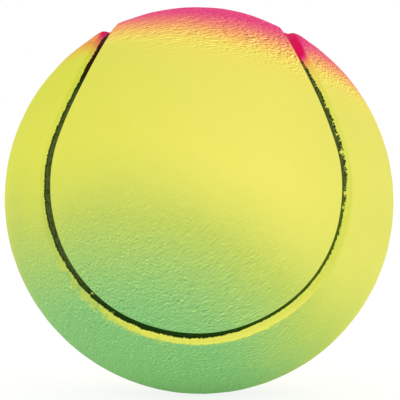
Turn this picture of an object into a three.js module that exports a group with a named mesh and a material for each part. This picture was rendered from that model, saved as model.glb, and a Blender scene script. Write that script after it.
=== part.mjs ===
// Foam play ball, with a seam groove that winds round it as the seam of a tennis ball does.
// Millimetres, +Z up. The origin is the centre of the ball, and the side with the groove's U faces -Y.
// Four pieces are bonded into one ball: a sponge core, two equal skin panels that interlock as
// a tennis ball's two covers do, and a thin black line that lies on the floor of the groove between them.

import * as THREE from 'three';
import { mergeVertices } from 'three/addons/utils/BufferGeometryUtils.js';

// Sizes of the ball
const ballDiameter = 60;
const waistWidth = 23;            // narrowest part of a panel, seam to seam, measured over the skin
const seamTilt = 28;              // degrees that the front panel's waist leans back from straight up

// Sizes of the skin panels, and of the groove between their rolled edges
const skinThickness = 0.8;
const grooveWidth = 2.6;          // between the shoulders, where flank and skin would meet in a corner
const grooveDepth = 1.1;          // from the skin down to the top of the line
const shoulderRadius = 0.5;
const lipWidth = 0.6;             // underside of a panel's rolled edge
const lipRise = 0.6;              // run over which the underside climbs from the lip to the plain skin

// Sizes of the line in the groove
const lineWidth = 0.9;
const lineThickness = 0.35;
const lineCorner = 0.12;          // bevel along the line's two upper edges

// Clearances
const bondGap = 0.3;              // glue line under the panels and under the line
const lineGap = 0.25;             // between the line and the edge of each panel

// Facets
const arcSteps = 28;              // stations along each of the seam's four arcs
const skinSteps = 7;              // from the shoulder to a panel's spine
const bedSteps = 5;               // the same, on the underside of a panel and on the core
const shoulderSteps = 3;

const ballRadius = ballDiameter / 2;
const samePoint = 1e-5;           // corners closer than this are one corner

// The seam is four equal arcs of circles on the ball. Each goes round the lobe at one end of a panel,
// which is the waist of the other panel, and its neighbours are the same arc turned over about
// the point where they meet. That keeps one smooth line, for any width of the waist.
const waistAngle = waistWidth / 2 / ballRadius;
const lobeAngle = Math.atan2(Math.SQRT2 - Math.sin(waistAngle), Math.cos(waistAngle));
const lobeDrop = Math.PI / 2 - waistAngle - lobeAngle;
const firstTurn = Math.atan2(1, Math.sin(lobeDrop));

const lobeCentre = new THREE.Vector3(0, -Math.cos(lobeDrop), -Math.sin(lobeDrop));
const lobeUp = new THREE.Vector3(0, -Math.sin(lobeDrop), Math.cos(lobeDrop));
const lobeRight = new THREE.Vector3(1, 0, 0);
const crossing = new THREE.Vector3(Math.SQRT1_2, -Math.SQRT1_2, 0);

// The next arc of the seam: a quarter turn about Z, with top and bottom exchanged.
function toNextArc(vector) {
  return new THREE.Vector3(vector.y, -vector.x, -vector.z);
}

// A station is a place on the seam: the direction to it, the direction along the skin into the front
// panel, and the angles from it to the spines of the two panels. A spine is the middle line of a panel,
// from the centre of one lobe over the waist to the centre of the other.
function seamStation(quarterTurns, turn) {
  const outward = lobeUp.clone().multiplyScalar(Math.cos(turn));
  outward.addScaledVector(lobeRight, Math.sin(turn));
  let point = lobeCentre.clone().multiplyScalar(Math.cos(lobeAngle));
  point.addScaledVector(outward, Math.sin(lobeAngle));
  let side = lobeCentre.clone().multiplyScalar(Math.sin(lobeAngle));
  side.addScaledVector(outward, -Math.cos(lobeAngle));
  const waistReach = Math.atan2(Math.cos(lobeDrop), -Math.cos(turn) * Math.sin(lobeDrop)) - lobeAngle;
  for (let k = 0; k < quarterTurns; k += 1) {
    point = toNextArc(point);
    side = toNextArc(side).negate();
  }
  const roundFrontLobe = quarterTurns % 2 === 0;
  return {
    point,
    side,
    frontReach: roundFrontLobe ? lobeAngle : waistReach,
    rearReach: roundFrontLobe ? waistReach : lobeAngle,
  };
}

const quarterTurnsToArcs = [0, 1, 2, 3];
const stations = quarterTurnsToArcs.flatMap((quarterTurns) => Array.from({ length: arcSteps }, (_, step) => {
  const turn = firstTurn + (2 * Math.PI - 2 * firstTurn) * (step / arcSteps);
  return seamStation(quarterTurns, turn);
}));

// A profile is a row of [x, depth] pairs, drawn square across the seam: x is measured over the skin
// from the middle of the groove, towards the front panel, and depth is measured in from the skin.
function onBall(station, x, depth) {
  const angle = x / ballRadius;
  const place = station.point.clone().multiplyScalar(Math.cos(angle));
  place.addScaledVector(station.side, Math.sin(angle));
  return place.multiplyScalar(ballRadius - depth);
}

// Carries a profile once round the seam. The ends of an open profile lie on the panels' spines, where
// the two sides of a panel meet, so the surface closes there by itself.
function carryRoundSeam(profileAt, profileCloses) {
  const rowAt = (station) => profileAt(station).map(([x, depth]) => onBall(station, x, depth));
  const rows = stations.map(rowAt);
  const rowLength = rows[0].length;
  const spans = profileCloses ? rowLength : rowLength - 1;
  const corners = [];
  const addTriangle = (a, b, c) => {
    const shortestSide = Math.min(a.distanceTo(b), b.distanceTo(c), c.distanceTo(a));
    if (shortestSide > samePoint) corners.push(...a, ...b, ...c);
  };
  rows.forEach((row, i) => {
    const next = rows[(i + 1) % rows.length];
    for (let j = 0; j < spans; j += 1) {
      const k = (j + 1) % rowLength;
      addTriangle(row[j], next[j], next[k]);
      addTriangle(row[j], next[k], row[k]);
    }
  });
  const geometry = new THREE.BufferGeometry();
  geometry.setAttribute('position', new THREE.Float32BufferAttribute(corners, 3));
  const solid = mergeVertices(geometry);
  solid.computeVertexNormals();
  return solid;
}

// Points at one depth, evenly spaced from a spine to the edge of a panel's plain part.
function spineToEdge(reach, edge, depth, steps) {
  const spine = reach * ballRadius;
  return Array.from({ length: steps + 1 }, (_, k) => [spine + (edge - spine) * (k / steps), depth]);
}

// The groove's section: the panels' edges stand beside the line, and their undersides follow the core.
const toeX = lineWidth / 2 + lineGap;
const shoulderX = grooveWidth / 2;
const heelX = toeX + lipWidth;
const lipDepth = grooveDepth + lineThickness;
const underEdgeX = heelX + lipRise;
const channelDepth = lipDepth + bondGap;
const bedDepth = skinThickness + bondGap;
const channelSlope = Math.atan2(lipDepth - skinThickness, lipRise);
const channelShift = bondGap * Math.tan(channelSlope / 2);

// One skin panel: crowned like the ball, with a rounded shoulder, a sloping flank down to the line,
// and a lip that seats in the core's channel.
function panelProfile(station) {
  const flankSlope = Math.atan2(grooveDepth, shoulderX - toeX);
  const shoulderRun = shoulderRadius * Math.tan(flankSlope / 2);
  const edge = shoulderX + shoulderRun;
  const profile = spineToEdge(station.frontReach, edge, 0, skinSteps);
  for (let k = 1; k <= shoulderSteps; k += 1) {
    const bend = flankSlope * (k / shoulderSteps);
    profile.push([edge - shoulderRadius * Math.sin(bend), shoulderRadius * (1 - Math.cos(bend))]);
  }
  profile.push([toeX, grooveDepth]);
  profile.push([toeX, lipDepth]);
  profile.push([heelX, lipDepth]);
  profile.push(...spineToEdge(station.frontReach, underEdgeX, skinThickness, bedSteps).reverse());
  return profile;
}

// The core: a sponge ball under both panels, with the channel that their lips and the line sit in.
function coreProfile(station) {
  const wallFoot = heelX + channelShift;
  const wallTop = underEdgeX + channelShift;
  const mirrored = ([x, depth]) => [-x, depth];
  const frontBed = spineToEdge(station.frontReach, wallTop, bedDepth, bedSteps);
  const rearBed = spineToEdge(station.rearReach, wallTop, bedDepth, bedSteps).map(mirrored).reverse();
  return [...frontBed, [wallFoot, channelDepth], [-wallFoot, channelDepth], ...rearBed];
}

// The line: a flat black band with bevelled upper edges.
function lineProfile() {
  const half = lineWidth / 2;
  return [
    [half, lipDepth],
    [half, grooveDepth + lineCorner],
    [half - lineCorner, grooveDepth],
    [lineCorner - half, grooveDepth],
    [-half, grooveDepth + lineCorner],
    [-half, lipDepth],
  ];
}

const spongeMaterial = new THREE.MeshStandardMaterial({ color: 0xe9e2a0, roughness: 0.95, metalness: 0 });
const frontSkinMaterial = new THREE.MeshStandardMaterial({ color: 0xeae36a, roughness: 0.7, metalness: 0 });
const rearSkinMaterial = new THREE.MeshStandardMaterial({ color: 0xdcdc58, roughness: 0.7, metalness: 0 });
const lineMaterial = new THREE.MeshStandardMaterial({ color: 0x1c1d14, roughness: 0.6, metalness: 0 });

function namedMesh(name, geometry, material) {
  const mesh = new THREE.Mesh(geometry, material);
  mesh.name = name;
  return mesh;
}

const panelGeometry = carryRoundSeam(panelProfile, false);
const foamCore = namedMesh('foam_core', carryRoundSeam(coreProfile, false), spongeMaterial);
const frontPanel = namedMesh('skin_panel_front', panelGeometry, frontSkinMaterial);
const rearPanel = namedMesh('skin_panel_rear', panelGeometry, rearSkinMaterial);
const seamLine = namedMesh('seam_line', carryRoundSeam(lineProfile, true), lineMaterial);

// The rear panel is the front one turned over about a point where two arcs of the seam meet.
rearPanel.quaternion.setFromAxisAngle(crossing, Math.PI);

const ball = new THREE.Group();
ball.add(foamCore, frontPanel, rearPanel, seamLine);
ball.rotation.x = -THREE.MathUtils.degToRad(seamTilt);

export default ball;
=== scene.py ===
"""Foam play ball with a tennis seam: the looks of each piece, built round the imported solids.

The file is laid out as an add-on: sizes and colours are properties, each piece has an operator, and main() runs
them in order. Everything is in metres, with the ball's centre at the origin and +Z up.
"""

import math

import bpy
import numpy as np
from bpy.props import FloatProperty, FloatVectorProperty, IntProperty, PointerProperty
from mathutils import Matrix, Vector
from mathutils.kdtree import KDTree


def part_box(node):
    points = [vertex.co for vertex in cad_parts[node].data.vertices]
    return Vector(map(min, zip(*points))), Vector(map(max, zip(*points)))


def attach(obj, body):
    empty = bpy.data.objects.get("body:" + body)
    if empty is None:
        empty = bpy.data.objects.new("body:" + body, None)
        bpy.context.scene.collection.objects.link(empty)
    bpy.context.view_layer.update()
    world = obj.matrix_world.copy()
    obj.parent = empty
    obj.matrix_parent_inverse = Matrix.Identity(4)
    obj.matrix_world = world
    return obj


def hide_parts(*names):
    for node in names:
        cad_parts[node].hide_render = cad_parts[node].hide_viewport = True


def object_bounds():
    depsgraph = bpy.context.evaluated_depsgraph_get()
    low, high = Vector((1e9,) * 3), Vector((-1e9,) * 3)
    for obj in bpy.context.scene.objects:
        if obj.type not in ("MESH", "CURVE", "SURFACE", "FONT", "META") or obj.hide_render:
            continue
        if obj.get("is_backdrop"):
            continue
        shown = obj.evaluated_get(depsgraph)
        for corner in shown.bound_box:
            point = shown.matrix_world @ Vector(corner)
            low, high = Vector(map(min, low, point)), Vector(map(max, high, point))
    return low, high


bl_info = {
    "name": "Foam Play Ball",
    "version": (1, 0, 0),
    "blender": (4, 5, 0),
    "location": "3D View > Sidebar > Foam Ball",
    "description": "A sponge ball with a wrinkled, sprayed skin and a black line in its seam groove",
    "category": "Add Mesh",
}

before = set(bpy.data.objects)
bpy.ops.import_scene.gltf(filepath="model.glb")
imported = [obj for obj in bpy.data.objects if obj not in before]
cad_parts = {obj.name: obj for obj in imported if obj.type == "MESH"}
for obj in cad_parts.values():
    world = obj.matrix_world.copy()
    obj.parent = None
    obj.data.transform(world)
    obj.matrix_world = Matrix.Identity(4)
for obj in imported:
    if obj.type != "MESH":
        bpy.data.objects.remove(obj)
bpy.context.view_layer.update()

MM = 0.001
DEGREE = math.pi / 180
PHOTO_SIDE = 400  # pixels along each side of the picture

LONG_AXIS = (-0.86, 0.05, 0.50)  # the way in which the ball is longest
CRUMPLE_SEED, FOLD_SEED = 23, 21
NOISE_SPREAD = 1.6  # brings the noise to about -1 to 1
SHOULDER_STEPS, TOE_STEPS = 16, 8  # points round the two rounded corners of the groove
LIP_OVERLAP = 0.04 * MM  # how far a panel's lip reaches in under the line
SMOOTH_SHARE = 0.7  # share of the groove's half width without relief
RELIEF_RUN = 0.9 * MM  # over which the relief rises
LINE_BEVEL = 0.03 * MM
BRUSH_MARK_HEIGHT = 0.03 * MM
PORE_PITCH, PORE_DEPTH = 0.7 * MM, 0.12 * MM
SLOPE_STEP = 0.11 * MM  # to either side, to measure the wrinkles' slope
PAINT_GLOSS = 0.06  # specular level of the skin and the paint
FLOOR_WHITE = 1.03  # colour and glow of the floor together

# Reach of the black paint up the groove's flanks: degrees round the front, from the right and upwards, and mm
INK_STROKES = (
    (-140, 0.72), (-125, 0.64), (-112, 0.66), (-90, 0.66), (-62, 0.38), (-40, 0.42), (-15, 0.50), (-4, 0.64),
    (5, 0.74), (22, 0.80), (34, 0.76), (48, 0.62), (90, 0.60), (117, 0.66), (120, 0.70), (124, 0.78),
    (135, 0.76), (155, 0.78), (175, 0.87), (195, 0.84), (212, 0.74),
)
STROKES_ABOUT = (-0.5, 3.4)  # x and z, in mm, of the point that those degrees go round

# Where the moulded seam strays from its arcs: the way to the middle of the stray, its spread, and how far the
# seam moves there, away from the middle of the front lobe, both in mm
SEAM_STRAYS = (
    ((0.456, -0.020, 0.890), 6.5, 0.95),
    ((0.447, -0.200, 0.872), 2.2, -0.42),
    ((0.500, -0.330, 0.800), 2.4, -0.20),
    ((0.515, -0.468, 0.718), 3.5, -0.22),
    ((0.638, -0.620, 0.458), 4.5, 0.20),
    ((0.740, -0.672, 0.018), 3.0, -0.10),
    ((0.592, -0.743, -0.313), 6.0, 0.12),
    ((0.331, -0.780, -0.532), 3.0, -0.08),
    ((-0.134, -0.792, -0.595), 3.0, -0.08),
    ((-0.420, -0.749, -0.511), 3.0, 0.12),
    ((-0.590, -0.745, -0.312), 5.0, 0.13),
    ((-0.679, -0.636, 0.364), 4.5, 0.30),
    ((-0.580, -0.560, 0.591), 3.5, -0.14),
    ((-0.508, -0.449, 0.734), 4.0, -0.37),
    ((-0.478, -0.306, 0.824), 3.0, -0.32),
    ((-0.447, -0.220, 0.867), 2.2, -0.18),
    ((-0.465, -0.038, 0.887), 6.5, 0.80),
)

# Shallow dents where the groove passes over the edge of the view: the way to each, its spread and its depth in
# mm. A depth under 0 is a raised spot.
DENTS = (
    ((0.391, -0.020, 0.923), 2.6, 0.26),
    ((0.470, 0.090, 0.878), 1.6, 0.36),
    ((0.522, -0.020, 0.853), 1.0, -0.14),
    ((-0.470, 0.075, 0.880), 1.2, 0.50),
    ((-0.410, -0.038, 0.912), 1.0, -0.08),
    ((-0.510, -0.038, 0.860), 1.0, -0.12),
)

# Chips in the black paint: the middle and the reach of each, in mm
CHIPS = (
    ((-15.3, -20.8, -12.6), 0.16),
    ((-12.2, -21.2, -15.2), 0.10),
    ((19.3, -16.1, 14.8), 0.15),
    ((20.1, -16.9, 12.6), 0.15),
    ((20.8, -17.4, 10.6), 0.15),
    ((21.4, -17.9, 8.0), 0.30),
    ((21.9, -18.8, 2.1), 0.25),
    ((21.6, -19.2, -0.1), 0.20),
)


def size(name, description, millimetres):
    """A length property, given in millimetres."""
    metres = millimetres * MM
    return FloatProperty(name=name, description=description, default=metres, unit="LENGTH", precision=5)


def turn(name, description, degrees):
    """An angle property, given in degrees."""
    return FloatProperty(name=name, description=description, default=math.radians(degrees), subtype="ANGLE")


def share(name, description, value, highest=1.0):
    """A plain number property."""
    return FloatProperty(name=name, description=description, default=value, min=0.0, max=highest)


def count(name, description, value):
    """A whole number property."""
    return IntProperty(name=name, description=description, default=value, min=1)


def linear(level):
    """A colour level from 0 to 255 on a screen, as the light it stands for."""
    level = level / 255
    return level / 12.92 if level <= 0.04045 else ((level + 0.055) / 1.055) ** 2.4


def colour(name, description, red, green, blue):
    """A colour property, given in screen levels from 0 to 255."""
    light = [linear(level) for level in (red, green, blue)]
    return FloatVectorProperty(name=name, description=description, default=light, subtype="COLOR", min=0, max=1)


def direction(name, description, x, y, z):
    """A direction property in the row frame."""
    return FloatVectorProperty(name=name, description=description, default=(x, y, z), subtype="DIRECTION")


class BallSizes(bpy.types.PropertyGroup):
    """Sizes of the ball and its groove."""

    radius: size("Radius", "From the centre of the ball to its skin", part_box("skin_panel_front")[1].z / MM)
    waist_width: size("Waist width", "Narrowest part of a skin panel, over the skin", 23.0)
    seam_tilt: turn("Seam tilt", "How far the front panel's waist leans back", 28.0)
    skin: size("Skin", "Thickness of a skin panel", 0.8)
    bond: size("Bond", "Space that the bond takes under a panel", 0.3)
    groove_width: size("Groove width", "Between the shoulders, unrounded", 2.6)
    groove_depth: size("Groove depth", "From the skin down to the floor of the groove", 1.1)
    floor_width: size("Floor width", "Flat floor of the groove", 0.86)
    shoulder: size("Shoulder", "Radius of the rounded shoulders of the groove", 0.55)
    toe: size("Toe", "Radius between the flank and the floor of the groove", 0.16)
    lip: size("Lip", "Width of a panel's edge under the line", 0.5)
    line: size("Line", "Thickness of the black line", 0.3)
    oval: size("Oval", "How far the ball stands out along its long axis", 0.16)


class SkinRelief(bpy.types.PropertyGroup):
    """The fine wrinkles of the moulded skin."""

    crumple_pitch: size("Crumple pitch", "Across one cell of the broad crumple", 2.4)
    crumple_height: size("Crumple height", "How far the broad crumple stands up", 0.03)
    fold_pitch: size("Fold pitch", "Across one cell of the small folds", 1.0)
    fold_height: size("Fold height", "How far a small fold stands up", 0.02)
    wrinkle_pitch: size("Wrinkle pitch", "Across one cell of the fine wrinkles", 0.28)
    wrinkle_height: size("Wrinkle height", "How far a fine wrinkle stands up", 0.03)
    pebble_pitch: size("Pebble pitch", "Across one cell of the pebbling", 0.24)
    stretch: share("Stretch", "How much longer the wrinkles are than wide", 7.5, 10.0)
    grain: direction("Grain", "The way that most wrinkles run", 0.906, 0.0, 0.423)
    wander: size("Wander", "How far the wrinkles are bent out of line", 0.3)


class MeshDetail(bpy.types.PropertyGroup):
    """How finely the pieces are divided."""

    arc_steps: count("Arc steps", "Stations along each of the seam's four arcs, on the skin", 240)
    skin_rows: count("Skin rows", "Rows from the groove to a panel's spine", 66)
    groove_rows: count("Groove rows", "Rows over the shoulder and down the flank", 18)
    bed_rows: count("Bed rows", "Rows on the underside of a panel", 5)
    core_arc_steps: count("Core arc steps", "Stations along each arc, on the core", 144)
    core_rows: count("Core rows", "Rows from the channel to a panel's spine", 36)
    measuring: count("Measuring", "How many times finer the seam is to measure from", 3)


class BallColours(bpy.types.PropertyGroup):
    """Colours of the skin, the sprays and the line."""

    yellow: colour("Skin yellow", "The moulded skin", 235, 228, 103)
    # Painted shade on the left of the skin; also the skin that shows where the line's paint has chipped
    haze: colour("Hazed yellow", "The skin on the left, under a haze of green", 219, 221, 82)
    peach: colour("Pink haze", "A haze of pink over yellow", 244, 224, 98)
    amber: colour("Orange haze", "Orange dust on the upper left", 235, 174, 66)
    ember: colour("Deep orange haze", "Orange dust where it is thickest", 228, 104, 56)
    sharp_yellow: colour("Left-hand yellow", "Sharper yellow left of the line", 212, 221, 46)
    orange: colour("Thin pink", "A little pink over yellow", 248, 177, 100)
    coral: colour("Half pink", "Pink over most of the yellow", 240, 118, 112)
    pink: colour("Full pink", "Pink that hides the skin", 233, 56, 124)
    magenta: colour("Deep pink", "Where pink has gathered", 222, 10, 92)
    lime: colour("Thin green", "A little green over yellow", 186, 203, 93)
    green: colour("Full green", "Green that hides the skin", 130, 187, 115)
    deep_green: colour("Deep green", "Where green has gathered", 96, 172, 110)
    # Painted bounce light in the groove, not a colour of the skin
    groove_bounce_yellow: colour("Groove yellow", "The bare skin in the groove", 222, 231, 90)
    # Painted highlight: small glints on the pink, not bare skin
    pink_highlight: colour("Bare speck", "Where a raised spot took no pink", 255, 190, 196)
    # Painted highlight on the crests of the wrinkles
    painted_glint: colour("Glint", "Light on the crests of the wrinkles", 255, 255, 255)
    black: colour("Line black", "The painted line", 26, 56, 10)
    # Painted sheen on the black line, where it faces the light
    line_sheen: colour("Line olive", "The painted line, where it is thin", 90, 101, 50)
    moss: colour("Thin paint, lower right", "Thin black paint at the lower right", 68, 93, 2)
    brown: colour("Line brown", "The painted line under the pink", 56, 8, 0)
    sponge: colour("Sponge", "The foam inside", 232, 222, 150)


class SprayPlaces(bpy.types.PropertyGroup):
    """Where the two sprayed colours lie, and from where they were sprayed."""

    pink_pole: direction("Pink pole", "Middle of the pink patch", 0.172, 0.360, 0.917)
    green_pole: direction("Green pole", "Middle of the green patch", -0.256, -0.571, -0.780)
    green_from: direction("Green from", "The way to the green nozzle", 0.22, 0.05, -0.97)
    bare_patch: direction("Bare patch", "Where the green is broken beside the groove", -0.50, -0.69, -0.52)
    pink_start: turn("Pink start", "Angle from its pole at which pink begins", 60.5)
    pink_full: turn("Pink full", "Angle from its pole at which pink covers", 34.5)
    green_start: turn("Green start", "Angle from its pole at which green begins", 75.5)
    green_full: turn("Green full", "Angle from its pole at which green covers", 20.0)


class StageSettings(bpy.types.PropertyGroup):
    """The floor, the light and the camera."""

    azimuth: turn("Azimuth", "How far the camera stands to the right of the front", 1.12)
    elevation: turn("Elevation", "How far the camera looks down", 3.1)
    roll: turn("Roll", "How far the camera is rolled", -0.21)
    distance: size("Distance", "From the camera to the centre of the ball", 390.0)
    ball_pixels: share("Ball pixels", "Radius of the ball in the picture", 193.9, 1000.0)
    ball_left: share("Ball left", "Pixels from the picture's middle, leftwards", 0.9, 100.0)
    ball_down: share("Ball down", "Pixels from the picture's middle, downwards", 0.5, 100.0)
    dome: share("Dome", "Strength of the even light all round", 0.95, 10.0)
    key: share("Key", "Watts of the large light at the front right", 0.06, 100.0)
    fill: share("Fill", "Watts of the light low at the front", 0.06, 100.0)
    floor: share("Floor", "How much light the floor gives back", 0.88)
    table: share("Table", "Light that comes up through the floor", 0.36)
    glow: share("Glow", "How white the floor looks where the ball shades it", 0.85)


# Shader expressions


class Value:
    """A number or colour on a surface: one output socket that takes part in Python expressions."""

    def __init__(self, nodes, socket):
        self.nodes = nodes
        self.socket = socket

    def __add__(self, other):
        return self.nodes.math("ADD", self, other)

    def __sub__(self, other):
        return self.nodes.math("SUBTRACT", self, other)

    def __rsub__(self, other):
        return self.nodes.math("SUBTRACT", other, self)

    def __mul__(self, other):
        return self.nodes.math("MULTIPLY", self, other)

    __radd__ = __add__
    __rmul__ = __mul__

    def ramp(self, low, high, unit=1.0, smooth=True):
        """0 at low and 1 at high, in the unit, eased at both ends if smooth. high may be the smaller."""
        settings = {"interpolation_type": "SMOOTHSTEP" if smooth else "LINEAR", "clamp": True}
        first, last = (1.0, 0.0) if low > high else (0.0, 1.0)
        inputs = {0: self, 1: min(low, high) * unit, 2: max(low, high) * unit, 3: first, 4: last}
        return Value(self.nodes, self.nodes.add("ShaderNodeMapRange", settings, inputs).outputs[0])


class Nodes:
    """The nodes of a material or a world. The last one, which takes the others' results, is there at first."""

    def __init__(self, owner, last):
        owner.use_nodes = True
        self.owner = owner
        self.tree = owner.node_tree
        self.last = self.tree.nodes[last]

    def add(self, kind, settings=None, inputs=None):
        """A new node with its settings and inputs. An input is a constant, a socket or a Value."""
        node = self.tree.nodes.new(kind)
        for key, value in (settings or {}).items():
            setattr(node, key, value)
        for key, value in (inputs or {}).items():
            self.feed(node.inputs[key], value)
        return node

    def feed(self, socket, value):
        """Links a Value or a socket into a socket, or sets a constant on it."""
        if isinstance(value, Value):
            value = value.socket
        if isinstance(value, bpy.types.NodeSocket):
            self.tree.links.new(value, socket)
        else:
            socket.default_value = value

    def math(self, operation, *values):
        """A Math node on one or two numbers."""
        node = self.add("ShaderNodeMath", {"operation": operation}, dict(enumerate(values)))
        return Value(self, node.outputs[0])

    def vector(self, operation, *values):
        """A Vector Math node: its number for a dot product or a distance, and else its vector."""
        node = self.add("ShaderNodeVectorMath", {"operation": operation}, dict(enumerate(values)))
        wanted = "Value" if operation in ("DOT_PRODUCT", "DISTANCE") else "Vector"
        return Value(self, node.outputs[wanted])

    def along(self, vector, way):
        """How far a vector reaches in a direction."""
        return self.vector("DOT_PRODUCT", vector, tuple(way))

    def parts(self, vector):
        """The x, y and z of a vector."""
        return [Value(self, part) for part in self.add("ShaderNodeSeparateXYZ", None, {0: vector}).outputs]

    def scaled(self, vector, factor):
        """A vector or colour times a number."""
        node = self.add("ShaderNodeVectorMath", {"operation": "SCALE"}, {0: vector, 3: factor})
        return Value(self, node.outputs["Vector"])

    def mix(self, factor, first, second):
        """A mix of two colours, each a Value or the three parts of a plain colour."""
        node = self.add("ShaderNodeMix", {"data_type": "RGBA", "clamp_factor": True}, {"Factor": factor})
        for socket, shade in ((node.inputs[6], first), (node.inputs[7], second)):
            self.feed(socket, shade if isinstance(shade, Value) else (*shade, 1.0))
        return Value(self, node.outputs[2])

    def layers(self, base, amount, steps, colours):
        """A colour under layers, each of which takes over while the amount climbs from its low to its high."""
        for low, high, name in steps:
            base = self.mix(amount.ramp(low, high, smooth=False), base, getattr(colours, name))
        return base

    def place(self):
        """The place on the surface, in metres in the row frame."""
        return Value(self, self.add("ShaderNodeTexCoord").outputs["Object"])

    def attribute(self, name):
        """A number that the mesh holds at each of its points."""
        return Value(self, self.add("ShaderNodeAttribute", {"attribute_name": name}).outputs["Fac"])

    def noise(self, place, pitch, detail=2.0, roughness=0.5, wanted="Fac"):
        """Noise from 0 to 1 with cells of a pitch in metres, or three such numbers as a Color."""
        inputs = {"Vector": place, "Scale": 1 / pitch, "Detail": detail, "Roughness": roughness}
        return Value(self, self.add("ShaderNodeTexNoise", {"noise_dimensions": "3D"}, inputs).outputs[wanted])

    def bump(self, height, distance):
        """A normal bent by a height, whose 1 stands for a distance."""
        inputs = {"Height": height, "Distance": distance, "Strength": 1.0}
        return Value(self, self.add("ShaderNodeBump", None, inputs).outputs["Normal"])

    def seen(self):
        """1 or more on rays that the camera sees, straight, in gloss or through glass, and else 0."""
        rays = self.add("ShaderNodeLightPath").outputs
        kinds = ("Camera", "Glossy", "Transmission")
        camera, gloss, glass = (Value(self, rays[f"Is {kind} Ray"]) for kind in kinds)
        return camera + gloss + glass

    def finish(self, **inputs):
        """Feeds the last node's sockets, named in small letters, and returns the owner."""
        for name, value in inputs.items():
            self.feed(self.last.inputs[name.replace("_", " ").title().replace("Ior", "IOR")], value)
        return self.owner


def surface(name):
    """The nodes of a new material."""
    return Nodes(bpy.data.materials.new(name), "Principled BSDF")


# Seam and profiles


def bumps_at(directions, bumps, radius):
    """The sum of bumps at directions from the centre. A bump is a direction, a spread and a height in mm."""
    total = np.zeros(len(directions))
    for middle, spread, height in bumps:
        away = radius * np.linalg.norm(directions - np.array(middle) / np.linalg.norm(middle), axis=1)
        total += height * MM * np.exp(-0.5 * (away / (spread * MM)) ** 2)
    return total


class Seam:
    """The tennis seam, as stations along its four equal arcs.

    Each arc goes round the lobe at one end of a panel, which is the waist of the other panel. A station has a
    direction from the centre, a direction over the skin into the front panel, and the angle that it takes to
    reach the spine, or middle line, of each panel.
    """

    def __init__(self, sizes, arc_steps):
        waist = sizes.waist_width / 2 / sizes.radius
        lobe = math.atan2(math.sqrt(2) - math.sin(waist), math.cos(waist))
        drop = math.pi / 2 - waist - lobe
        first_turn = math.atan2(1, math.sin(drop))
        centre = np.array([0, -math.cos(drop), -math.sin(drop)])
        up = np.array([0, -math.sin(drop), math.cos(drop)])
        right = np.array([1.0, 0, 0])
        turns = first_turn + (2 * math.pi - 2 * first_turn) * np.arange(arc_steps)[:, None] / arc_steps
        outward = np.cos(turns) * up + np.sin(turns) * right
        point = math.cos(lobe) * centre + math.sin(lobe) * outward
        side = math.sin(lobe) * centre - math.cos(lobe) * outward
        at_lobe = np.full(arc_steps, lobe)
        at_waist = np.arctan2(math.cos(drop), -np.cos(turns[:, 0]) * math.sin(drop)) - lobe
        points, sides = [], []
        for _ in range(4):
            points.append(point)
            sides.append(side)
            point, side = self.next_arc(point), -self.next_arc(side)
        front = 2 * [at_lobe, at_waist]
        rear = 2 * [at_waist, at_lobe]
        self.radius = sizes.radius
        lean = np.array(Matrix.Rotation(-sizes.seam_tilt, 3, "X"))
        points = np.concatenate(points) @ lean.T
        sides = np.concatenate(sides) @ lean.T
        stray = bumps_at(points, SEAM_STRAYS, sizes.radius) / sizes.radius
        shift = stray[:, None]
        self.points = np.cos(shift) * points - np.sin(shift) * sides
        self.sides = np.cos(shift) * sides + np.sin(shift) * points
        self.reach = {1: np.concatenate(front) + stray, -1: np.concatenate(rear) - stray}
        self.steps = len(self.points)

    @staticmethod
    def next_arc(vectors):
        """The same on the next arc: a quarter turn about Z, with top and bottom exchanged."""
        return np.stack([vectors[:, 1], -vectors[:, 0], -vectors[:, 2]], 1)

    def rows_to_spine(self, panel, edge, rows):
        """Distances over the skin from the seam: one row for each step from a panel's spine to its edge."""
        spine = self.reach[panel] * self.radius
        ease = np.linspace(0, 1, rows + 1)[:, None]
        return spine + (edge - spine) * ease

    def wrap(self, across, depth):
        """Places for rows of (distance over the skin into the front panel, depth under the skin)."""
        angle = (across / self.radius)[..., None]
        out = np.cos(angle) * self.points + np.sin(angle) * self.sides
        return out * (self.radius - depth)[..., None]


def rounded_corner(before, corner, after, radius, steps):
    """Points round a corner of a flat profile."""
    before, corner, after = (np.array(p, float) for p in (before, corner, after))
    to_start = (before - corner) / np.linalg.norm(before - corner)
    to_end = (after - corner) / np.linalg.norm(after - corner)
    half = math.acos(float(np.clip(to_start @ to_end, -1, 1))) / 2
    reach = radius / math.tan(half)
    middle = (to_start + to_end) / np.linalg.norm(to_start + to_end)
    centre = corner + middle * radius / math.sin(half)
    start, end = corner + to_start * reach - centre, corner + to_end * reach - centre
    sweep = math.pi - 2 * half
    shares = np.linspace(0, 1, steps + 1)[:, None]
    return centre + (np.sin((1 - shares) * sweep) * start + np.sin(shares * sweep) * end) / math.sin(sweep)


def evenly_spaced(points, rows):
    """The same line with its points at equal steps along it."""
    steps = np.linalg.norm(np.diff(points, axis=0), axis=1)
    along = np.concatenate([[0], np.cumsum(steps)])
    wanted = np.linspace(0, along[-1], rows + 1)
    return np.stack([np.interp(wanted, along, points[:, k]) for k in range(2)], 1)


def groove_side(sizes, rows):
    """One side of the groove as (distance from its middle, depth), from the plain skin to the floor."""
    plain, shoulder = (sizes.groove_width, 0.0), (sizes.groove_width / 2, 0.0)
    toe, floor = (sizes.floor_width / 2, sizes.groove_depth), (0.0, sizes.groove_depth)
    upper = rounded_corner(plain, shoulder, toe, sizes.shoulder, SHOULDER_STEPS)
    lower = rounded_corner(shoulder, toe, floor, sizes.toe, TOE_STEPS)
    return evenly_spaced(np.concatenate([upper, lower]), rows)


# Relief of the skin


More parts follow.
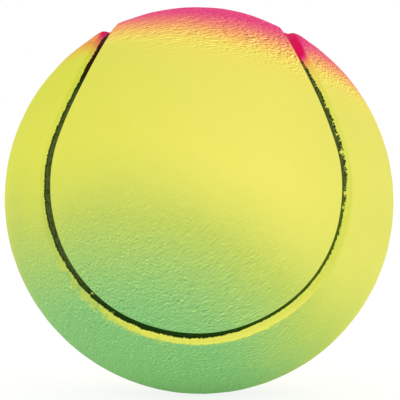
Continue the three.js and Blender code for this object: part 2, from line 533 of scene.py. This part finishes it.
class SolidNoise:
    """Smooth random noise in space, the same on every run. Its cells have size 1."""

    def __init__(self, seed):
        draws = np.random.default_rng(seed)
        self.order = draws.permutation(256)
        slopes = draws.normal(size=(256, 3))
        self.slopes = slopes / np.linalg.norm(slopes, axis=1)[:, None]

    def __call__(self, places):
        cell = np.floor(places).astype(np.int64)
        inside = places - cell
        ease = inside ** 3 * (inside * (inside * 6 - 15) + 10)
        total = np.zeros(len(places))
        for corner in np.ndindex(2, 2, 2):
            key = np.zeros(len(places), np.int64)
            weight = np.ones(len(places))
            for axis in range(3):
                key = self.order[(key + cell[:, axis] + corner[axis]) & 255]
                weight *= ease[:, axis] if corner[axis] else 1 - ease[:, axis]
            total += weight * np.einsum("ij,ij->i", self.slopes[key], inside - corner)
        return total * NOISE_SPREAD


def skin_height(places, relief):
    """Height of the crumple and the small folds of the skin at places on the ball, in metres."""
    crumple, folds = SolidNoise(CRUMPLE_SEED), SolidNoise(FOLD_SEED)
    grain = np.array(relief.grain.normalized())
    along = (places @ grain)[:, None] * grain
    stretched = places - along + along / relief.stretch
    broad = relief.crumple_height * crumple(places / relief.crumple_pitch)
    return broad + relief.fold_height * folds(stretched / relief.fold_pitch)


def ball_shape(places, sizes):
    """How far the slightly oval ball stands out from a true one, at directions from its centre."""
    long_axis = np.array(LONG_AXIS) / np.linalg.norm(LONG_AXIS)
    return sizes.oval * (2 * (places @ long_axis) ** 2 - 1) - bumps_at(places, DENTS, sizes.radius)


def wrap_on_ball(seam, sizes, across, depth):
    """Places for rows, as Seam.wrap gives them, on the oval and dented ball."""
    true_ball = seam.wrap(across, 0 * depth).reshape(-1, 3)
    return seam.wrap(across, depth - ball_shape(true_ball / sizes.radius, sizes).reshape(depth.shape))


# Meshes


def wrapped_grid(name, places, closed_profile=False):
    """A grid primitive whose rows are wrapped round the seam.

    places is (rows, stations, 3). The first and last stations are joined, and so are the first and last rows,
    either to each other or, where they lie on a panel's spine, to the points that meet them there.
    """
    around = np.concatenate([places, places[:, :1]], 1)
    if closed_profile:
        around = np.concatenate([around, around[:1]], 0)
    rows, stations = around.shape[:2]
    bpy.ops.object.select_all(action="DESELECT")
    bpy.ops.mesh.primitive_grid_add(x_subdivisions=stations - 1, y_subdivisions=rows - 1, size=1.0)
    piece = bpy.context.object
    mesh = piece.data
    piece.name = mesh.name = name
    mesh.vertices.foreach_set("co", around.reshape(-1, 3).astype(np.float32).ravel())
    chosen = np.zeros((rows, stations), bool)
    chosen[[0, -1]] = chosen[:, [0, -1]] = True
    mesh.vertices.foreach_set("select", chosen.ravel())
    for others in (mesh.edges, mesh.polygons):
        others.foreach_set("select", np.zeros(len(others), bool))
    bpy.ops.object.mode_set(mode="EDIT")
    bpy.ops.mesh.select_mode(type="VERT")
    bpy.ops.mesh.remove_doubles(threshold=1e-6)
    bpy.ops.mesh.select_all(action="SELECT")
    bpy.ops.mesh.normals_make_consistent(inside=False)
    bpy.ops.object.mode_set(mode="OBJECT")
    bpy.ops.object.shade_smooth()
    return piece


def hold_number(piece, name, values):
    """Stores a number at each point of the mesh, for its material to read."""
    attribute = piece.data.attributes.new(name, "FLOAT", "POINT")
    attribute.data.foreach_set("value", np.asarray(values, np.float32))


def vectors_of(items, key):
    """A vector for each of a mesh's points or normals, as rows of x, y and z."""
    numbers = np.empty(len(items) * 3, np.float32)
    items.foreach_get(key, numbers)
    return numbers.reshape(-1, 3).astype(float)


def nearest_on_seam(directions, seam):
    """Distances over the skin from the middle of the groove, for directions from the centre."""
    tree = KDTree(seam.steps)
    for index, point in enumerate(seam.points):
        tree.insert(point, index)
    tree.balance()
    found = np.array([tree.find(p)[2] for p in directions])
    return 2 * np.arcsin(np.clip(found / 2, 0, 1)) * seam.radius


def ink_reach(points):
    """How far from the middle of the groove the black runs up the flanks, at points on the ball."""
    x, z = STROKES_ABOUT
    around = np.degrees(np.arctan2(points[:, 2] - z * MM, points[:, 0] - x * MM))
    return np.interp(around, *np.transpose(INK_STROKES), period=360) * MM


def dress(piece, node, material):
    """Gives a piece its material, hides the CAD part that it stands for and hangs it on the body that it rides
    on.
    """
    piece.data.materials.clear()
    piece.data.materials.append(material)
    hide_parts(node)
    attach(piece, "root")


# Materials


def sponge_material(scene):
    """Open-cell foam: pale, dull and full of small round holes, with painted shade in them."""
    nodes, colours = surface("sponge"), scene.foam_ball_colours
    place = nodes.place()
    cells = nodes.add("ShaderNodeTexVoronoi", {"feature": "F1"}, {"Vector": place, "Scale": 1 / PORE_PITCH})
    pore = Value(nodes, cells.outputs["Distance"]).ramp(0.42, 0.2)
    # Painted shade: the pores are painted darker than the foam
    shade = [0.55 * level for level in colours.sponge]
    pale = nodes.mix(0.35 * nodes.noise(place, 6 * MM), colours.sponge, colours.yellow)
    base = nodes.mix(0.7 * pore, pale, shade)
    normal = nodes.bump(1 - pore, PORE_DEPTH)
    return nodes.finish(base_color=base, roughness=0.95, specular_ior_level=0.25, normal=normal)


def fine_wrinkles(nodes, relief):
    """The fine wrinkles' height, from 0 to 1, and how much they face upwards, from about -1 to 1."""
    place = nodes.place()
    grain = relief.grain.normalized()
    across = Vector((-grain.z, 0.0, grain.x))
    out = nodes.vector("NORMALIZE", place)
    inwards = nodes.scaled(out, 0 - nodes.along(out, across))
    uphill = nodes.vector("NORMALIZE", nodes.vector("ADD", inwards, tuple(across)))
    swirl = nodes.vector("SUBTRACT", nodes.noise(place, 1.7 * MM, detail=1.0, wanted="Color"), (0.5, 0.5, 0.5))
    bent = nodes.vector("ADD", place, nodes.scaled(swirl, 2 * relief.wander))
    high = nodes.parts(place)[2].ramp(-2, 16, MM)
    # The wrinkles run three ways, each with a turn from the grain, a width and a weight
    ways = ((-0.25, 1.0, 0.15 + 0.40 * high), (0.22, 0.85, 0.40 - 0.15 * high), (-1.2, 0.9, 0.30 - 0.25 * high))

    def height(side):
        """The height a little to one side."""
        step = nodes.scaled(uphill, side * SLOPE_STEP)
        here = nodes.vector("ADD", bent, step)
        total = 0.09 * nodes.noise(nodes.vector("ADD", place, step), relief.pebble_pitch, detail=0.0)
        for turned, width, weight in ways:
            run = (grain + turned * across).normalized()
            shortened = nodes.scaled(tuple(run), (1 / relief.stretch - 1) * nodes.along(here, run))
            stretched = nodes.vector("ADD", here, shortened)
            total = total + weight * nodes.noise(stretched, width * relief.wrinkle_pitch, detail=0.5)
        return total

    above, below = height(1), height(-1)
    slope = 9.0 * (below - above)
    sharpened = slope * (0.5 + 0.5 * nodes.math("ABSOLUTE", slope))
    patch = nodes.noise(place, 2.4 * MM).ramp(0.3, 0.7, smooth=False)
    return 0.5 * (above + below), sharpened * (0.65 + 0.7 * patch)


class SprayedSkin:
    """The colour of the yellow skin, with pink sprayed on its top and green on its lower left.

    tone is how much the wrinkles face upwards. The grains are where the wrinkles catch more or less spray, and
    where their painted light and shade shows.
    """

    GREEN_LAYERS = ((0.0, 0.4, "lime"), (0.4, 1.0, "green"), (1.0, 1.35, "deep_green"))
    PINK_LAYERS = ((0.05, 0.34, "orange"), (0.34, 0.68, "coral"), (0.68, 1.0, "pink"))

    def __init__(self, nodes, scene, tone):
        self.nodes = nodes
        self.tone = tone
        self.colours = scene.foam_ball_colours
        self.sprays = sprays = scene.foam_ball_sprays
        self.place = nodes.place()
        self.out = nodes.vector("NORMALIZE", self.place)
        self.x, y, self.z = nodes.parts(self.place)
        self.drift = nodes.noise(self.place, 8 * MM, detail=1.0) - 0.5
        self.mottle = nodes.noise(self.place, 0.9 * MM) - 0.5
        self.outwards = nodes.attribute("from_middle") - scene.foam_ball_sizes.groove_width / 2
        self.groove = self.outwards.ramp(0.2, -0.25, MM)
        self.rear = nodes.attribute("rear")
        self.left_flank = self.rear * self.x.ramp(-10, -14, MM)
        # The green reaches further round, away from the front
        spread = y.ramp(-19, -9.5, MM)
        green_angle = self.angle_from(sprays.green_pole) + 1.2 * DEGREE - 8.2 * DEGREE * spread
        self.green = green_angle.ramp(sprays.green_start, sprays.green_full)
        self.green_grain = self.green.ramp(0.12, 0.95, smooth=False) * (1 - self.groove)
        self.pink_angle = self.angle_from(sprays.pink_pole)
        self.pink = self.pink_angle.ramp(sprays.pink_start, sprays.pink_full)
        grain = self.pink_angle.ramp(sprays.pink_start + 4 * DEGREE, sprays.pink_start - 9 * DEGREE)
        grain = grain * (1 - 0.3 * self.pink.ramp(0.6, 1.0)) * (1 - self.groove)
        self.pink_grain = grain * (0.8 + 0.2 * self.x.ramp(-8, 8, MM))

    def angle_from(self, pole):
        """The angle from the middle of a spray, with its edge drifting in and out."""
        facing = self.nodes.along(self.out, pole.normalized())
        return self.nodes.math("ARCCOSINE", facing) + 4.0 * DEGREE * self.drift

    def green_cover(self):
        """How much green lies on the skin: less in the lee of the nozzle and in the bare patch."""
        nodes, place = self.nodes, self.place
        patchy = nodes.noise(place, 0.6 * MM) - 0.5
        struck = (nodes.attribute("green_lean") + 0.5 * patchy).ramp(-0.80, -0.35)
        low_left = nodes.along(self.out, self.sprays.bare_patch.normalized()).ramp(0.89, 0.97)
        wobbly = self.outwards + 3.6 * MM * (nodes.noise(place, 1.0 * MM) - 0.5)
        bare = 0.55 * wobbly.ramp(0.7, -0.7, MM) * low_left * self.rear
        cover = nodes.math("MINIMUM", self.green * struck * (1 - bare), 1.2)
        return cover - self.green_grain * (0.06 * self.tone + 0.10 * self.mottle)

    def pink_cover(self):
        """How much pink lies on the skin: more in the groove, and a little more beside it."""
        right = self.outwards.ramp(0.0, -0.45, MM) * self.pink_angle.ramp(53.8, 45, DEGREE)
        left = self.groove * self.x.ramp(0.0, -8, MM)
        fringe = 0.34 * self.outwards.ramp(2.2, 0.0, MM) * self.rear * self.pink_angle.ramp(58, 46, DEGREE)
        gathered = 2.4 * self.nodes.math("MAXIMUM", right, left) + fringe
        cover = self.nodes.math("MINIMUM", self.pink * (1 + gathered), 1.5)
        return cover + 0.09 * self.pink_grain * self.tone

    def moulded_yellow(self):
        """The skin under the sprays: darker and greener on the left, which is painted shade, greener on the
        right towards the bottom, and a clearer yellow in the groove, which is painted bounce light.
        """
        nodes, colours = self.nodes, self.colours
        # Painted shade: darker, greener yellow towards the left, away from the light
        base = nodes.mix(self.x.ramp(14, -32, MM), colours.yellow, colours.haze)
        low = self.z.ramp(6, -6, MM)
        base = nodes.mix((0.16 + 0.18 * low) * self.x.ramp(10, 24, MM), base, colours.lime)
        # Painted bounce light: a clearer yellow in the groove, where its yellow walls light each other
        return nodes.mix(0.4 * self.groove * (1 - self.green), base, colours.groove_bounce_yellow)

    def with_pink(self, base):
        """The skin with the pink over it, orange dust on the upper left flank, and painted glints on the pink.
        """
        nodes, colours = self.nodes, self.colours
        pink = self.pink_cover()
        blush = 0.55 * self.pink_angle.ramp(72, 57, DEGREE) * self.x.ramp(-12, 0.0, MM)
        base = nodes.mix(blush, base, colours.peach)
        sharp = (0.06 + 0.26 * self.pink_angle.ramp(88, 70, DEGREE)) * self.left_flank * (1 - self.green)
        base = nodes.mix(sharp, base, colours.sharp_yellow)
        warm = 0.8 * self.pink_angle.ramp(65, 54, DEGREE) * self.left_flank
        base = nodes.mix(warm, base, colours.amber)
        haze = pink.ramp(0.0, 0.06, smooth=False) * (1 - 1.1 * warm)
        base = nodes.mix(haze, base, colours.peach)
        base = nodes.layers(base, pink, self.PINK_LAYERS, colours)
        ember = 0.50 * self.outwards.ramp(4.5, 0.8, MM) * self.pink_angle.ramp(61.5, 54.5, DEGREE)
        base = nodes.mix(ember * self.left_flank, base, colours.ember)
        base = nodes.mix(pink.ramp(1.05, 1.45, smooth=False), base, colours.magenta)
        # Painted highlights: small pale pink glints scattered over the pink
        pink_highlights = nodes.noise(self.place, 0.34 * MM, detail=1.0).ramp(0.64, 0.74)
        pink_highlights = pink_highlights * pink.ramp(0.5, 0.8) * (1 - self.groove)
        return nodes.mix(0.45 * pink_highlights, base, colours.pink_highlight)

    def colour(self):
        """The sprayed skin, with painted light and shade on its wrinkles and in its groove, painted glints on
        the wrinkles' crests, and its mottling.
        """
        nodes, tone, green_grain, pink_grain = self.nodes, self.tone, self.green_grain, self.pink_grain
        green_skin = nodes.layers(self.moulded_yellow(), self.green_cover(), self.GREEN_LAYERS, self.colours)
        base = self.with_pink(green_skin)
        # Painted light and shade: lighter in the groove, more where it is green, and each wrinkle lighter or
        # darker by the way it faces
        light = 1 + self.groove * (0.01 + 0.09 * self.green) + tone * (0.115 * green_grain - 0.25 * pink_grain)
        light = light + (0.035 + 0.14 * green_grain * (1.5 - green_grain)) * self.mottle
        # Painted highlights: the crests of the wrinkles, and a few random spots, are mixed towards white
        pale = tone * (0.012 * green_grain - 0.030 * pink_grain) + 0.02 * self.mottle
        return nodes.mix(nodes.math("MAXIMUM", pale, 0.0), nodes.scaled(base, light), self.colours.painted_glint)


def painted_foot(nodes):
    """The paint on the foot of a flank: the distance outwards from its ragged edge, and how black it is."""
    place = nodes.place()
    upper_right = nodes.along(place, (0.89, 0.0, 0.45)).ramp(8, 20, MM)
    low = nodes.parts(place)[2].ramp(0, -10, MM)
    ragged = nodes.noise(place, 0.28 * MM, roughness=0.6) - 0.5
    slow = nodes.noise(place, 1.4 * MM, detail=1.0) - 0.5
    beyond = nodes.attribute("from_middle") - nodes.attribute("ink_reach")
    beyond = beyond + (0.24 + 0.20 * upper_right + 0.12 * low) * MM * ragged + 0.22 * MM * slow
    holes = nodes.noise(place, 0.25 * MM, detail=1.0).ramp(0.56, 0.64) * beyond.ramp(-0.34, -0.04, MM)
    ink = beyond.ramp(0.04, -0.03, MM) * (1 - chips(nodes)) * (1 - 0.8 * upper_right * holes)
    return beyond, ink


def skin_material(scene):
    """The wrinkled skin of a panel, with the line's black on the foot of its flank and a painted highlight
    along the black's edge.
    """
    nodes = surface("sprayed_skin")
    relief = scene.foam_ball_relief
    height, tone = fine_wrinkles(nodes, relief)
    beyond, ink = painted_foot(nodes)
    # Painted highlight: a thin paler band on the skin just beyond the edge of the black paint
    edge_highlight = beyond.ramp(0.30, 0.12, MM) * (1 - ink)
    skin = nodes.scaled(SprayedSkin(nodes, scene, tone).colour(), 1 + 0.10 * edge_highlight)
    paint = line_paint(nodes, scene, beyond.ramp(-0.02, -0.22, MM))
    cloud = nodes.noise(nodes.place(), 1.1 * MM) - 0.5
    return nodes.finish(
        base_color=nodes.mix(ink, skin, paint),
        roughness=0.76 - 0.12 * ink + 0.10 * cloud,
        specular_ior_level=PAINT_GLOSS,
        normal=nodes.bump(height, relief.wrinkle_height),
    )


def line_paint(nodes, scene, within=1.0):
    """The black paint's colour: near black below, with a painted sheen in olive at the sides, where the paint
    faces the light, less of it towards the bottom, and brown under the pink.

    within is 0 at the edge of the paint, where the painted sheen gives way to black, and 1 inside.
    """
    colours = scene.foam_ball_colours
    place = nodes.place()
    x, _, z = nodes.parts(place)
    right = x.ramp(0.0, 4, MM)
    top = z - 5 * MM * right
    # Painted sheen: olive on the black paint at the sides, less at the top and the bottom, where the paint
    # faces away from the light
    painted_sheen = nodes.math("ABSOLUTE", x).ramp(12, 18, MM) * top.ramp(20, 15, MM)
    painted_sheen = painted_sheen * (1 - 0.2 * z.ramp(2, -8, MM) - 0.35 * z.ramp(-6, -15, MM))
    painted_sheen = painted_sheen * nodes.noise(place, 0.5 * MM).ramp(0.2, 0.56) * within
    low_right = x.ramp(4, 12, MM) * z.ramp(6, -4, MM)
    base = nodes.mix(painted_sheen, colours.black, colours.line_sheen)
    base = nodes.mix(low_right * (0.35 + 0.5 * painted_sheen), base, colours.moss)
    base = nodes.mix(0.9 * top.ramp(17, 22, MM), base, colours.brown)
    base = nodes.mix(right * z.ramp(20.8, 22.6, MM), base, colours.magenta)
    return nodes.mix(chips(nodes), base, colours.haze)


def chips(nodes):
    """1 where the black paint has chipped off, and 0 elsewhere."""
    place = nodes.place()
    ragged = nodes.noise(place, 0.3 * MM) - 0.5
    chipped = 0.0
    for middle, reach in CHIPS:
        away = nodes.vector("DISTANCE", place, tuple(MM * part for part in middle)) + MM * ragged
        chipped = nodes.math("MAXIMUM", chipped, away.ramp(reach + 0.05, reach - 0.05, MM))
    return chipped


def line_material(scene):
    """Matt black paint, brushed thinly, and duller in patches."""
    nodes = surface("line_paint")
    place = nodes.place()
    worn = nodes.noise(place, 0.35 * MM, detail=3.0).ramp(0.62, 0.72)
    return nodes.finish(
        base_color=line_paint(nodes, scene),
        roughness=0.75 + 0.15 * worn,
        specular_ior_level=PAINT_GLOSS,
        normal=nodes.bump(nodes.noise(place, 0.25 * MM), BRUSH_MARK_HEIGHT),
    )


# Skin panels


def panel_profile(seam, sizes, detail, panel):
    """Crown, flank, lip and underside: the rows across and in depth, and how many are outside."""
    level = np.ones(seam.steps)
    side = groove_side(sizes, detail.groove_rows)
    crown = seam.rows_to_spine(panel, side[0, 0], detail.skin_rows)[:-1]
    toe = sizes.floor_width / 2 - LIP_OVERLAP
    heel = toe + sizes.lip
    lip_depth = sizes.groove_depth + sizes.line
    bed = seam.rows_to_spine(panel, heel + sizes.lip, detail.bed_rows)[::-1]
    across = np.concatenate([crown, side[:, :1] * level, np.array([[toe], [toe], [heel]]) * level, bed])
    lip = np.array([[sizes.groove_depth], [lip_depth], [lip_depth]]) * level
    depth = np.concatenate([0 * crown, side[:, 1:] * level, lip, np.full(bed.shape, sizes.skin)])
    return across, depth, len(crown) + len(side)


def panel_relief(seam, sizes, relief, across, outer_rows):
    """Height of the crumpled skin, which fades out down in the groove."""
    places = seam.wrap(across, 0 * across).reshape(-1, 3)
    outside = slice(0, outer_rows * seam.steps)
    height = np.zeros(len(places))
    height[outside] = skin_height(places[outside], relief)
    fade = np.clip((np.abs(across) - SMOOTH_SHARE * sizes.groove_width / 2) / RELIEF_RUN, 0, 1)
    return height.reshape(across.shape) * (fade * fade * (3 - 2 * fade))


def hold_panel_numbers(piece, scene, panel):
    """Stores what the material reads at each point of a panel."""
    detail = scene.foam_ball_detail
    points = vectors_of(piece.data.vertices, "co")
    normals = vectors_of(piece.data.vertex_normals, "vector")
    directions = points / np.linalg.norm(points, axis=1)[:, None]
    nozzle = np.array(scene.foam_ball_sprays.green_from.normalized())
    fine_seam = Seam(scene.foam_ball_sizes, detail.arc_steps * detail.measuring)
    hold_number(piece, "green_lean", (normals - directions) @ nozzle)
    hold_number(piece, "from_middle", nearest_on_seam(directions, fine_seam))
    hold_number(piece, "ink_reach", ink_reach(points))
    hold_number(piece, "rear", np.full(len(points), 1.0 if panel < 0 else 0.0))


def add_panel(scene, seam, name, node, panel, material):
    """Builds one panel. panel is 1 for the front and -1 for the rear."""
    sizes, detail = scene.foam_ball_sizes, scene.foam_ball_detail
    across, depth, outer_rows = panel_profile(seam, sizes, detail, panel)
    height = panel_relief(seam, sizes, scene.foam_ball_relief, panel * across, outer_rows)
    piece = wrapped_grid(name, wrap_on_ball(seam, sizes, panel * across, depth - height))
    hold_panel_numbers(piece, scene, panel)
    dress(piece, node, material)


# Stage


def add_floor(settings, height):
    """A wide floor that looks white and takes a little shadow."""
    bpy.ops.object.select_all(action="DESELECT")
    bpy.ops.mesh.primitive_plane_add(size=6.0, location=(0, 0, height))
    floor = bpy.context.object
    floor.name = "studio_floor"
    nodes = surface("studio_floor")
    seen = nodes.seen()
    material = nodes.finish(
        base_color=nodes.mix(seen, [settings.floor] * 3, [FLOOR_WHITE - settings.glow] * 3),
        emission_color=nodes.mix(seen, [settings.table] * 3, [settings.glow] * 3),
        emission_strength=1.0,
        roughness=1.0,
        specular_ior_level=0.0,
    )
    floor.data.materials.append(material)
    floor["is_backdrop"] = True


def add_soft_light(name, location, power):
    """A large round light that is turned to the ball."""
    bpy.ops.object.light_add(type="AREA", location=location)
    light = bpy.context.object
    light.name = name
    light.data.shape = "DISK"
    light.data.size = 0.5
    light.data.energy = power
    light.rotation_mode = "QUATERNION"
    light.rotation_quaternion = (-light.location).to_track_quat("-Z", "Y")


def add_light(scene, settings):
    """An even dome, seen as white, and two large soft lights at the front."""
    scene.world = bpy.data.worlds.new("studio_dome")
    nodes = Nodes(scene.world, "Background")
    strength = nodes.add("ShaderNodeMapRange", {"clamp": True}, {0: nodes.seen(), 3: settings.dome, 4: 1.0})
    nodes.finish(color=(1.0, 1.0, 1.0, 1.0), strength=strength.outputs[0])
    add_soft_light("soft_key", (0.30, -0.55, 0.22), settings.key)
    add_soft_light("low_fill", (-0.05, -0.55, 0.02), settings.fill)


def add_camera(scene, settings):
    """The camera at the photograph's angle, with the ball at its size and place in the picture."""
    azimuth, level = settings.azimuth, math.cos(settings.elevation)
    back = Vector((math.sin(azimuth) * level, -math.cos(azimuth) * level, math.sin(settings.elevation)))
    data = bpy.data.cameras.new("camera")
    scene.camera = camera = bpy.data.objects.new("camera", data)
    scene.collection.objects.link(camera)
    camera.location = settings.distance * back
    camera.rotation_mode = "QUATERNION"
    aim = (-back).to_track_quat("-Z", "Y")
    camera.rotation_quaternion = aim @ Matrix.Rotation(settings.roll, 3, "Z").to_quaternion()
    radius = scene.foam_ball_sizes.radius
    ball_tangent = radius / math.sqrt(settings.distance ** 2 - radius ** 2)
    half_picture = ball_tangent * (PHOTO_SIDE / 2) / settings.ball_pixels
    data.lens = data.sensor_width / 2 / half_picture
    data.shift_x = settings.ball_left / PHOTO_SIDE
    data.shift_y = settings.ball_down / PHOTO_SIDE
    data.clip_start, data.clip_end = 0.01, 20.0


# Operators


class FOAMBALL_OT_core(bpy.types.Operator):
    """Add the sponge core, with the channel that the groove sinks into"""

    bl_idname = "foam_ball.add_core"
    bl_label = "Sponge Core"

    def execute(self, context):
        sizes, detail = context.scene.foam_ball_sizes, context.scene.foam_ball_detail
        seam = Seam(sizes, detail.core_arc_steps)
        foot = sizes.floor_width / 2 + sizes.lip + sizes.bond
        edge = foot + 2 * sizes.bond
        top, floor = sizes.skin + sizes.bond, sizes.groove_depth + sizes.line + sizes.bond
        front = seam.rows_to_spine(1, edge, detail.core_rows)
        rear = seam.rows_to_spine(-1, edge, detail.core_rows)[::-1]
        level = np.ones(seam.steps)
        channel = [foot * level, 0 * level, -foot * level]
        across = np.concatenate([front, channel, -rear])
        depth = np.full(across.shape, top)
        depth[len(front):len(front) + len(channel)] = floor
        core = wrapped_grid("sponge_core", seam.wrap(across, depth))
        dress(core, "foam_core", sponge_material(context.scene))
        return {"FINISHED"}


class FOAMBALL_OT_skin(bpy.types.Operator):
    """Add the two skin panels, wrinkled all over and smooth where they roll down into the groove"""

    bl_idname = "foam_ball.add_skin"
    bl_label = "Skin Panels"

    def execute(self, context):
        scene = context.scene
        material = skin_material(scene)
        seam = Seam(scene.foam_ball_sizes, scene.foam_ball_detail.arc_steps)
        add_panel(scene, seam, "skin_front", "skin_panel_front", 1, material)
        add_panel(scene, seam, "skin_rear", "skin_panel_rear", -1, material)
        return {"FINISHED"}


class FOAMBALL_OT_line(bpy.types.Operator):
    """Add the black line that lies on the floor of the groove"""

    bl_idname = "foam_ball.add_line"
    bl_label = "Seam Line"

    def execute(self, context):
        sizes, detail = context.scene.foam_ball_sizes, context.scene.foam_ball_detail
        seam = Seam(sizes, detail.arc_steps)
        top, bottom = sizes.groove_depth - LINE_BEVEL, sizes.groove_depth + 0.8 * sizes.line
        profile = np.array([
            (1.0, bottom), (1.0, top + LINE_BEVEL), (0.6, top), (0.2, top),
            (-0.2, top), (-0.6, top), (-1.0, top + LINE_BEVEL), (-1.0, bottom),
        ])
        level = np.ones(seam.steps)
        across = sizes.floor_width / 2 * profile[:, :1] * level
        depth = profile[:, 1:] * level
        line = wrapped_grid("black_line", wrap_on_ball(seam, sizes, across, depth), closed_profile=True)
        dress(line, "seam_line", line_material(context.scene))
        return {"FINISHED"}


class FOAMBALL_OT_stage(bpy.types.Operator):
    """Add the pale floor, the soft light and the camera"""

    bl_idname = "foam_ball.add_stage"
    bl_label = "Studio Stage"

    def execute(self, context):
        scene = context.scene
        settings = scene.foam_ball_stage
        add_floor(settings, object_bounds()[0].z)
        add_light(scene, settings)
        add_camera(scene, settings)
        scene.view_settings.view_transform = "Standard"
        return {"FINISHED"}


class FOAMBALL_PT_panel(bpy.types.Panel):
    """The pieces of the ball and their sizes and colours"""

    bl_idname = "FOAMBALL_PT_panel"
    bl_label = "Foam Play Ball"
    bl_space_type = "VIEW_3D"
    bl_region_type = "UI"
    bl_category = "Foam Ball"

    def draw(self, context):
        layout = self.layout
        for operator in OPERATORS:
            layout.operator(operator.bl_idname)
        for _, group in GROUPS:
            box = layout.box()
            settings = getattr(context.scene, group)
            for name in settings.bl_rna.properties.keys():
                if name not in ("rna_type", "name"):
                    box.prop(settings, name)


GROUPS = (
    (BallSizes, "foam_ball_sizes"),
    (SkinRelief, "foam_ball_relief"),
    (MeshDetail, "foam_ball_detail"),
    (BallColours, "foam_ball_colours"),
    (SprayPlaces, "foam_ball_sprays"),
    (StageSettings, "foam_ball_stage"),
)
OPERATORS = (FOAMBALL_OT_core, FOAMBALL_OT_skin, FOAMBALL_OT_line, FOAMBALL_OT_stage)


def register():
    """Registers the classes and hangs the property groups on the scene."""
    for group, name in GROUPS:
        bpy.utils.register_class(group)
        setattr(bpy.types.Scene, name, PointerProperty(type=group))
    for cls in (*OPERATORS, FOAMBALL_PT_panel):
        bpy.utils.register_class(cls)


def unregister():
    """Takes the classes and the property groups away again."""
    for cls in (FOAMBALL_PT_panel, *reversed(OPERATORS)):
        bpy.utils.unregister_class(cls)
    for group, name in reversed(GROUPS):
        delattr(bpy.types.Scene, name)
        bpy.utils.unregister_class(group)


def main():
    """Builds the ball and its stage."""
    register()
    bpy.ops.foam_ball.add_core()
    bpy.ops.foam_ball.add_skin()
    bpy.ops.foam_ball.add_line()
    bpy.ops.foam_ball.add_stage()


if __name__ == "__main__":
    main()
